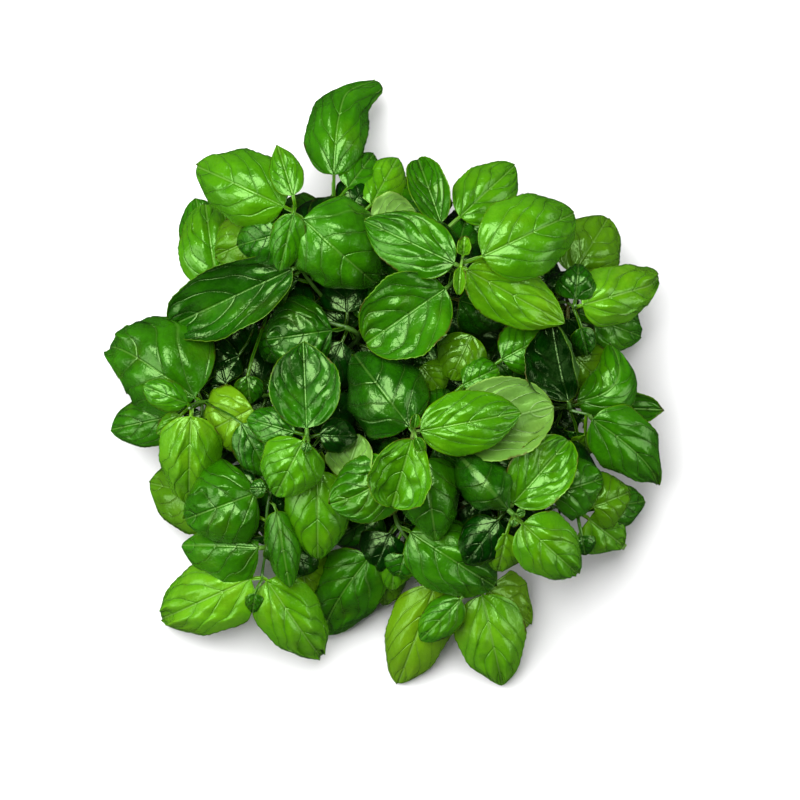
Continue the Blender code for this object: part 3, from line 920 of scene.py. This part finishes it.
@dataclass
class StemShape:
    """One stem: a slightly square tube, swollen at its nodes, from its cut end to its growing tip.

    Args:
        sprig: the stem's row in the table.
        lifts: how far each of its nodes is raised, in mm.
    """

    sprig: Sprig
    lifts: tuple[float, ...]

    def __post_init__(self) -> None:
        """Lays out the stem's path."""
        self.nodes = [Vector(n.at) + Vector((0, 0, lift)) for n, lift in zip(self.sprig.nodes, self.lifts)]
        cut = Vector((*self.sprig.cut, CUT_RADIUS))
        apex = Vector(self.sprig.apex) + self.nodes[-1] - Vector(self.sprig.nodes[-1].at)
        low = cut.lerp(self.nodes[0], FIRST_BEND[0])
        low.z *= FIRST_BEND[1]
        self.path = self.smooth_path([cut, low, *self.nodes, apex])

    @staticmethod
    def smooth_path(points: list[Vector]) -> list[Vector]:
        """Points on a smooth curve through the given ones.

        Args:
            points: the points to pass through, in mm.

        Returns:
            Points about STEM_STEP apart.
        """
        ends = [points[0] * 2 - points[1], *points, points[-1] * 2 - points[-2]]
        path = [points[0]]
        for before, start, end, after in zip(ends, ends[1:], ends[2:], ends[3:]):
            count = max(2, round((end - start).length / STEM_STEP))
            for i in range(1, count + 1):
                t = i / count
                path.append(
                    0.5
                    * (
                        2 * start
                        + (end - before) * t
                        + (2 * before - 5 * start + 4 * end - after) * t**2
                        + (3 * start - before - 3 * end + after) * t**3
                    )
                )
        return path

    def radius(self, share: float, place: Vector) -> float:
        """The stem's radius in mm at a share of its length."""
        nearest = min((place - node).length for node in self.nodes)
        swelling = 1 + NODE_SWELLING * math.exp(-((nearest / NODE_REACH) ** 2))
        return (CUT_RADIUS + (TIP_RADIUS - CUT_RADIUS) * share) * swelling - STEM_EASE

    def piece(self, finish: bpy.types.Material) -> bpy.types.Object:
        """Builds the stem.

        Args:
            finish: the stem's finish.

        Returns:
            The finished piece, which stands for the frame's own stem.
        """
        last = len(self.path) - 1
        mesh = bmesh.new()
        bmesh.ops.create_grid(mesh, x_segments=STEM_SIDES, y_segments=last, size=0.5)
        sides = self.sides()
        for vertex in mesh.verts:
            step = round((vertex.co.y + 0.5) * last)
            angle = (vertex.co.x + 0.5) * math.tau
            place = self.path[step]
            radius = self.radius(step / last, place)
            ridged = radius * (1 + STEM_SQUARENESS * (math.cos(4 * angle) - 1) / 2)
            right, up = sides[step]
            spot = place - Vector((*MIDDLE, 0)) + (right * math.cos(angle) + up * math.sin(angle)) * ridged
            spot.z = max(spot.z, STEM_FLOOR)
            vertex.co = spot * MM
        bmesh.ops.remove_doubles(mesh, verts=mesh.verts, dist=NEARLY_ZERO)
        bmesh.ops.holes_fill(mesh, edges=[edge for edge in mesh.edges if edge.is_boundary], sides=0)
        bmesh.ops.recalc_face_normals(mesh, faces=mesh.faces)
        data = bpy.data.meshes.new(f"basil_stem_{self.sprig.name}")
        mesh.to_mesh(data)
        mesh.free()
        data.shade_smooth()
        data.set_sharp_from_angle(angle=math.radians(SHARPEST))
        data.materials.append(finish)
        piece = bpy.data.objects.new(data.name, data)
        bpy.context.scene.collection.objects.link(piece)
        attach(piece, BODY)
        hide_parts(f"stem_{self.sprig.name}")
        return piece

    def sides(self) -> list[tuple[Vector, Vector]]:
        """Two directions square to the path at each of its points, which turn as little as they can."""
        sides: list[tuple[Vector, Vector]] = []
        right = Vector((1, 0, 0))
        for i in range(len(self.path)):
            heading = self.path[min(i + 1, len(self.path) - 1)] - self.path[max(i - 1, 0)]
            heading.normalize()
            right = (right - right.dot(heading) * heading).normalized()
            sides.append((right, heading.cross(right)))
        return sides


class Wire:
    """A number on a shader's wire. Python's operators on it add Math nodes."""

    def __init__(self, sheet: "NodeSheet", socket: bpy.types.NodeSocket) -> None:
        """Wraps one output socket."""
        self.sheet = sheet
        self.socket = socket

    def _maths(self, operation: str, *operands: "Wire | float") -> "Wire":
        """Adds a Math node and returns what it gives."""
        node = self.sheet.add("ShaderNodeMath", {"operation": operation}, dict(enumerate(operands)))
        return Wire(self.sheet, node.outputs[0])

    def __add__(self, other: "Wire | float") -> "Wire":
        """The sum."""
        return self._maths("ADD", self, other)

    def __radd__(self, other: "Wire | float") -> "Wire":
        """The sum, the other way round."""
        return self._maths("ADD", other, self)

    def __sub__(self, other: "Wire | float") -> "Wire":
        """The difference."""
        return self._maths("SUBTRACT", self, other)

    def __rsub__(self, other: "Wire | float") -> "Wire":
        """The difference, the other way round."""
        return self._maths("SUBTRACT", other, self)

    def __mul__(self, other: "Wire | float") -> "Wire":
        """The product."""
        return self._maths("MULTIPLY", self, other)

    def __rmul__(self, other: "Wire | float") -> "Wire":
        """The product, the other way round."""
        return self._maths("MULTIPLY", other, self)

    def __abs__(self) -> "Wire":
        """The number without its sign."""
        return self._maths("ABSOLUTE", self)

    def from_whole(self) -> "Wire":
        """How far it is from the nearest whole number, from 0 to 0.5."""
        return abs(self._maths("FRACT", self + 0.5) - 0.5)

    def step(self, low: float, high: float) -> "Wire":
        """A smooth step from 0 at low to 1 at high, or down where low is the higher one."""
        settings = {"interpolation_type": "SMOOTHSTEP"}
        if low < high:
            inputs = {"Value": self, "From Min": low, "From Max": high}
        else:
            inputs = {"Value": self, "From Min": high, "From Max": low, "To Min": 1.0, "To Max": 0.0}
        return Wire(self.sheet, self.sheet.add("ShaderNodeMapRange", settings, inputs).outputs[0])

    def clamped(self) -> "Wire":
        """The number held between 0 and 1."""
        return Wire(self.sheet, self.sheet.add("ShaderNodeClamp", {}, {"Value": self}).outputs[0])


class NodeSheet:
    """One material's nodes.

    Args:
        name: the material's name.
    """

    def __init__(self, name: str) -> None:
        """Starts a material with only its Principled shader and output."""
        self.material = bpy.data.materials.new(name)
        self.material.use_nodes = True
        self.tree = self.material.node_tree
        self.shader = self.tree.nodes["Principled BSDF"]
        self.coordinates = self.add("ShaderNodeTexCoord", {}, {}).outputs["Object"]

    def add(self, kind: str, settings: dict, inputs: dict) -> bpy.types.Node:
        """Adds a node.

        Args:
            kind: the node's type.
            settings: its own settings, which are set first; "stops" are a ramp's places and colours.
            inputs: what goes into its sockets, by name or number: a Wire, a socket or a plain value.

        Returns:
            The node.
        """
        node = self.tree.nodes.new(kind)
        for key, value in settings.items():
            if key == "stops":
                self._set_stops(node.color_ramp, value)
            else:
                setattr(node, key, value)
        for key, value in inputs.items():
            self.feed(node.inputs[key], value)
        return node

    @staticmethod
    def _set_stops(ramp: bpy.types.ColorRamp, stops: tuple[tuple[float, Colour], ...]) -> None:
        """Gives a ramp its stops."""
        while len(ramp.elements) < len(stops):
            ramp.elements.new(1.0)
        for element, (place, colour) in zip(ramp.elements, stops):
            element.position = place
            element.color = (*colour, 1)

    def feed(self, socket: bpy.types.NodeSocket, value: object) -> None:
        """Links a wire or a socket to a socket, or sets the socket's own value."""
        if isinstance(value, Wire):
            value = value.socket
        if isinstance(value, bpy.types.NodeSocket):
            self.tree.links.new(value, socket)
        elif isinstance(value, tuple) and socket.type == "RGBA":
            socket.default_value = (*value, 1)
        else:
            socket.default_value = value

    def noise(self, scale: float, detail: float = 3.0, roughness: float = 0.5) -> Wire:
        """Cloudy noise from 0 to 1, scale times a metre."""
        inputs = {"Vector": self.coordinates, "Scale": scale, "Detail": detail, "Roughness": roughness}
        return Wire(self, self.add("ShaderNodeTexNoise", {}, inputs).outputs[0])

    def cells(self, scale: float) -> Wire:
        """How far a place is from the walls of a net of small cells, scale times a metre."""
        settings = {"feature": "DISTANCE_TO_EDGE"}
        inputs = {"Vector": self.coordinates, "Scale": scale}
        return Wire(self, self.add("ShaderNodeTexVoronoi", settings, inputs).outputs[0])

    def written(self, name: str) -> tuple[Wire, Wire, Wire]:
        """The three numbers written on the piece's points under a name."""
        place = self.add("ShaderNodeAttribute", {"attribute_name": name}, {}).outputs["Vector"]
        split = self.add("ShaderNodeSeparateXYZ", {}, {0: place})
        return tuple(Wire(self, output) for output in split.outputs)

    def ramp(self, value: Wire, stops: tuple[tuple[float, Colour], ...]) -> bpy.types.NodeSocket:
        """A colour that follows a number."""
        return self.add("ShaderNodeValToRGB", {"stops": stops}, {0: value}).outputs[0]

    def mix(self, share: Wire | float, first: object, second: object) -> bpy.types.NodeSocket:
        """A colour between two."""
        settings = {"data_type": "RGBA"}
        return self.add("ShaderNodeMix", settings, {0: share, 6: first, 7: second}).outputs[2]

    def bump(self, height: Wire, distance: float, normal: object = None) -> bpy.types.NodeSocket:
        """Fine relief, distance being how many metres a height of 1 stands out."""
        inputs = {"Height": height, "Distance": distance}
        if normal is not None:
            inputs["Normal"] = normal
        return self.add("ShaderNodeBump", {}, inputs).outputs[0]


@dataclass(frozen=True)
class LeafFinish:
    """The finish of one face of the leaves.

    Args:
        name: the material's name.
        greens: the blade's colours, from the darkest to the brightest.
        yellow: the colour that a yellower blade turns towards.
        vein: the veins' colour.
        vein_share: how strongly the side veins show in colour.
        groove: how far the veins are sunk in, in metres, or stand out where negative.
        rough: the roughness of the face.
        burnt: the colour of the few bruised places on the edges.
    """

    name: str
    greens: tuple[Colour, ...]
    yellow: Colour
    vein: Colour
    vein_share: float
    groove: float
    rough: float
    burnt: Colour = (0.05, 0.028, 0.006)

    def material(self) -> bpy.types.Material:
        """Builds the material."""
        sheet = NodeSheet(self.name)
        phase, rib, rim = sheet.written("leaf_place")
        tone, yellow, wet = sheet.written("leaf_look")
        vein_gap = phase.from_whole()
        film = sheet.noise(95, 2, 0.4).step(0.5, 0.62) * wet
        rough = self.rough + (sheet.noise(150, 3, 0.6) - 0.5) * 0.12 - film * (self.rough - WET_ROUGHNESS)
        sheet.feed(sheet.shader.inputs["Base Color"], self.colour(sheet, (vein_gap, rib, rim), tone, yellow))
        sheet.feed(sheet.shader.inputs["Roughness"], rough.clamped())
        sheet.feed(sheet.shader.inputs["Normal"], self.relief(sheet, (vein_gap, rib, rim), film))
        sheet.feed(sheet.shader.inputs["IOR"], WAX_IOR)
        sheet.feed(sheet.shader.inputs["Specular IOR Level"], SHINE)
        sheet.feed(sheet.shader.inputs["Specular Tint"], SHINE_TINT)
        return sheet.material

    def colour(
        self, sheet: NodeSheet, place: tuple[Wire, Wire, Wire], tone: Wire, yellow: Wire
    ) -> bpy.types.NodeSocket:
        """Mixes the blade's colour.

        Args:
            sheet: the material's nodes.
            place: how far a point lies from the nearest side vein, from the midrib and from the edge.
            tone: how bright the blade is.
            yellow: how yellow it is.

        Returns:
            The colour.
        """
        vein_gap, rib, rim = place
        cloud = sheet.noise(30, 4, 0.6)
        fleck = sheet.noise(420, 3, 0.6)
        # Partly the blade's own colour and partly painted shade: darker in the side veins' grooves and
        # lighter on the swellings between them.
        groove_shade = vein_gap.step(0.0, 0.3)
        shade = tone + (cloud - 0.5) * 0.8 + (fleck - 0.5) * 0.24 + (groove_shade - 0.5) * 0.1
        count = len(self.greens) - 1
        colour = sheet.ramp(shade.clamped(), tuple((i / count, green) for i, green in enumerate(self.greens)))
        patch = sheet.noise(45, 3, 0.55).step(0.52, 0.72)
        yellowed = ((yellow * (1.0 + cloud) + patch * 0.4) * tone).clamped() * 0.75
        colour = sheet.mix(yellowed, colour, self.yellow)
        vein = vein_gap.step(0.05, 0.0) * rib.step(0.2, 2.5) * rim.step(0.4, 3.0)
        paled = (self.vein_share * 0.4 + self.vein_share * 2 * tone).clamped()
        colour = sheet.mix(vein * paled, colour, self.vein)
        colour = sheet.mix(rib.step(0.5, 0.12) * (0.03 + 0.65 * tone), colour, self.vein)
        colour = sheet.mix(rim.step(0.75, 0.1) * (0.25 + 0.55 * tone), colour, self.yellow)
        burn = sheet.noise(62, 3, 0.7).step(0.59, 0.63) * rim.step(1.6, 0.2)
        return sheet.mix(burn * 0.8, colour, self.burnt)

    def relief(self, sheet: NodeSheet, place: tuple[Wire, Wire, Wire], film: Wire) -> bpy.types.NodeSocket:
        """Sinks or raises the veins in the skin, and roughens it with its finest net.

        Args:
            sheet: the material's nodes.
            place: how far a point lies from the nearest side vein, from the midrib and from the edge.
            film: how much water lies there, which smooths the skin.

        Returns:
            The way the skin faces.
        """
        vein_gap, rib, rim = place
        net = sheet.cells(360).step(0.0, 0.22) * 0.3 + sheet.cells(1100).step(0.0, 0.25) * 0.08
        skin = net + sheet.noise(190, 2, 0.45)
        normal = sheet.bump(skin * (1 - film * 0.75), SKIN_RELIEF)
        cord = vein_gap.step(0.055, 0.0) * rim.step(0.2, 2.0) + rib.step(0.9, 0.1) * 1.3
        return sheet.bump(1 - cord, self.groove, normal)


UPPER = LeafFinish(
    "basil_upper_face",
    greens=(
        (0.0003, 0.01, 0.0001),
        (0.002, 0.043, 0.0001),
        (0.014, 0.12, 0.0002),
        (0.042, 0.2, 0.0008),
        (0.1, 0.31, 0.006),
    ),
    yellow=(0.1, 0.2, 0.002),
    vein=(0.12, 0.24, 0.04),
    vein_share=0.12,
    groove=0.0003,
    rough=0.24,
)
UNDER = LeafFinish(
    "basil_lower_face",
    greens=(
        (0.015, 0.06, 0.003),
        (0.04, 0.13, 0.008),
        (0.075, 0.2, 0.018),
        (0.1, 0.25, 0.035),
        (0.14, 0.3, 0.06),
    ),
    yellow=(0.16, 0.25, 0.04),
    vein=(0.2, 0.34, 0.11),
    vein_share=0.85,
    groove=-0.0003,
    rough=0.45,
)


@dataclass(frozen=True)
class StemFinish:
    """The stems' finish: fresh green with paler patches and fine flecks, and brown near the cut ends."""

    name: str = "basil_stem_skin"
    dark: Colour = (0.02, 0.08, 0.004)
    light: Colour = (0.06, 0.16, 0.012)
    woody: Colour = (0.15, 0.11, 0.05)

    def material(self) -> bpy.types.Material:
        """Builds the material."""
        sheet = NodeSheet(self.name)
        cloud = sheet.noise(60, 4, 0.6)
        flecks = sheet.noise(1600, 2, 0.5)
        height = Wire(sheet, sheet.add("ShaderNodeSeparateXYZ", {}, {0: sheet.coordinates}).outputs[2])
        colour = sheet.ramp((cloud + (flecks - 0.5) * 0.3).clamped(), ((0.3, self.dark), (0.7, self.light)))
        colour = sheet.mix(height.step(0.02, 0.0) * cloud, colour, self.woody)
        sheet.feed(sheet.shader.inputs["Base Color"], colour)
        sheet.feed(sheet.shader.inputs["Roughness"], (0.38 + (cloud - 0.5) * 0.3).clamped())
        sheet.feed(sheet.shader.inputs["Normal"], sheet.bump(flecks + cloud * 2, STEM_RELIEF))
        return sheet.material


@dataclass
class BasilSprig:
    """One sprig: its stem, its large leaves and the group of its small ones.

    Args:
        sprig: the sprig's row in the table.
        number: its place in the table, from 0.
    """

    sprig: Sprig
    number: int

    def seed(self, leaf: Leaf) -> float:
        """A number of its own for a leaf."""
        return self.number * 5.3 + ord(leaf.name) * 1.7

    def lift(self, node: Node, leaf: Leaf) -> float:
        """How far the frame lifted a leaf so that it lies clear of those below it, in mm."""
        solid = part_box(f"leaf_{self.sprig.name}_{leaf.name}")[1].z / MM
        plain = GrownLeaf(leaf, node.at, 0, 0).plain_height() + LEAF_THICKNESS / 2
        return max(0.0, round((solid - plain) / SETTLE_STEP) * SETTLE_STEP)

    def undergrowth(self, path: tuple[Vector, ...]) -> list[Small]:
        """The lower leaves, in pairs up the stem that by turns point forward and sideways, darkened with
        painted shade under the leaves above.

        Args:
            path: the stem's points.

        Returns:
            The leaves and where they grow.
        """
        grown = []
        chance = random.Random(self.number)
        for pair in range(LOW_PAIRS):
            step = round((LOW_FROM + (LOW_TO - LOW_FROM) * pair / (LOW_PAIRS - 1)) * (len(path) - 2))
            place = path[step]
            ahead = (path[step + 1] - place).to_2d().normalized()
            for side in (-1, 1):
                turn = chance.uniform(*LOW_SIDEWAYS) if pair % 2 else chance.uniform(*LOW_FORWARD)
                turn = math.radians(chance.uniform(*LOW_BACKWARD) if pair < 1 else turn) * side
                square = Vector((-ahead.y, ahead.x))
                out = ahead * math.cos(turn) + square * math.sin(turn)
                tip = place.to_2d() + out * chance.uniform(*LOW_LENGTH)
                if tip.length > LOW_REACH:
                    tip *= LOW_REACH / tip.length
                height = max(LOW_LEAST_HEIGHT, place.z * chance.uniform(*LOW_DROOP))
                # Painted shade: most lower leaves get the darkest tone and the rest a dark one.
                tone = Tone.DEEP if chance.random() < SHADED_LOW_SHARE else Tone.DARK
                name = chr(ord("A") + 2 * pair + (side > 0))
                width = chance.uniform(*LOW_WIDTH)
                leaf = Leaf(name, (*tip, height), width, (7, 8), curl=-25, stalk=5, tone=tone)
                grown.append(Small(tuple(place), leaf))
        return grown

    def build(self, upper: bpy.types.Material, under: bpy.types.Material, skin: bpy.types.Material) -> list:
        """Builds the sprig's pieces.

        Args:
            upper: the finish of the leaves' upper faces.
            under: the finish of their lower faces.
            skin: the stem's finish.

        Returns:
            The pieces.
        """
        raised = [[self.lift(node, leaf) for leaf in node.leaves] for node in self.sprig.nodes]
        lifts = tuple(sum(row) / max(1, len(row)) for row in raised)
        stem = StemShape(self.sprig, lifts)
        path = tuple(stem.path)
        pieces = [stem.piece(skin)]
        for node, row in zip(self.sprig.nodes, raised):
            for leaf, lift in zip(node.leaves, row):
                blade = LeafMesh(f"basil_leaf_{self.sprig.name}_{leaf.name}")
                grown = GrownLeaf(leaf, node.at, lift, self.seed(leaf), path)
                blade.add(grown, ROWS_ALONG, ROWS_ACROSS, STALK_ROWS)
                piece = blade.piece(upper, under, RIB_THICKNESS)
                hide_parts(f"leaf_{self.sprig.name}_{leaf.name}")
                pieces.append(piece)
        group = LeafMesh(f"basil_small_leaves_{self.sprig.name}")
        for small in self.sprig.small:
            grown = GrownLeaf(small.leaf, small.at, lifts[-1], self.seed(small.leaf), path)
            group.add(grown, SMALL_ROWS_ALONG, SMALL_ROWS_ACROSS, SMALL_STALK_ROWS)
        for small in self.undergrowth(path):
            grown = GrownLeaf(small.leaf, small.at, 0, self.seed(small.leaf), path)
            group.add(grown, LOW_ROWS_ALONG, LOW_ROWS_ACROSS, SMALL_STALK_ROWS)
        pieces.append(group.piece(upper, under, SMALL_RIB_THICKNESS))
        return pieces


@dataclass(frozen=True)
class Studio:
    """The table, the soft light and the camera.

    Args:
        floor_size: the side of the pale table, in metres.
        centre: where the camera looks, in metres.
        lens: the camera's focal length, in mm.
        distance: how far above the middle of the bunch the camera hangs, in metres.
        reach: how far the camera sees, in metres.
        paleness: how light the table is, from 0 to 1.
        roughness: how rough the table is, from 0 to 1.
        room_light: the strength of the light from all around.
        lamps: each lamp's name, its place and its side in metres, and its power in watts.
    """

    floor_size: float = 6.0
    centre: Point = (0.0056, -0.0095, 0.06)
    lens: float = 360.0
    distance: float = 4.0
    reach: float = 20.0
    paleness: float = 0.8
    roughness: float = 0.8
    room_light: float = 0.02
    lamps: tuple[tuple[str, Point, float, float], ...] = (
        ("key_light", (-0.42, 0.58, 1.6), 1.6, 78),
        ("left_light", (-1.5, -0.5, 0.75), 1.2, 17),
        ("right_light", (1.5, -0.35, 0.6), 1.2, 14),
    )

    def table(self) -> None:
        """Lays the pale table under the bunch."""
        mesh = bmesh.new()
        bmesh.ops.create_grid(mesh, x_segments=1, y_segments=1, size=self.floor_size / 2)
        data = bpy.data.meshes.new("pale_table")
        mesh.to_mesh(data)
        mesh.free()
        sheet = NodeSheet("pale_table_top")
        sheet.feed(sheet.shader.inputs["Base Color"], (self.paleness,) * 3)
        sheet.feed(sheet.shader.inputs["Roughness"], self.roughness)
        data.materials.append(sheet.material)
        table = bpy.data.objects.new("pale_table", data)
        bpy.context.scene.collection.objects.link(table)
        table.visible_glossy = False

    def lamp(self, name: str, place: Point, size: float, power: float) -> None:
        """Hangs a square lamp that points at the bunch."""
        light = bpy.data.lights.new(name, "AREA")
        light.shape = "SQUARE"
        light.size = size
        light.energy = power
        lamp = bpy.data.objects.new(name, light)
        lamp.location = place
        lamp.rotation_euler = (Vector(self.centre) - Vector(place)).to_track_quat("-Z", "Y").to_euler()
        bpy.context.scene.collection.objects.link(lamp)

    def build(self) -> None:
        """Sets the table, the lights and the camera."""
        scene = bpy.context.scene
        self.table()
        for name, place, size, power in self.lamps:
            self.lamp(name, place, size, power)
        world = bpy.data.worlds.new("pale_room")
        world.use_nodes = True
        background = world.node_tree.nodes["Background"]
        background.inputs["Color"].default_value = (1, 1, 1, 1)
        background.inputs["Strength"].default_value = self.room_light
        scene.world = world
        scene.view_settings.view_transform = "Standard"
        camera = bpy.data.objects.new("camera", bpy.data.cameras.new("camera"))
        camera.data.lens = self.lens
        camera.location = (self.centre[0], self.centre[1], self.centre[2] + self.distance)
        camera.data.clip_end = self.reach
        scene.collection.objects.link(camera)
        scene.camera = camera


def main() -> None:
    """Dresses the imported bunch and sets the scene."""
    logging.basicConfig(level=logging.INFO, format="%(name)s: %(message)s")
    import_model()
    upper = UPPER.material()
    under = UNDER.material()
    skin = StemFinish().material()
    for number, sprig in enumerate(SPRIGS):
        for piece in BasilSprig(sprig, number).build(upper, under, skin):
            LOG.info("built %s", piece.name)
    Studio().build()


if __name__ == "__main__":
    main()
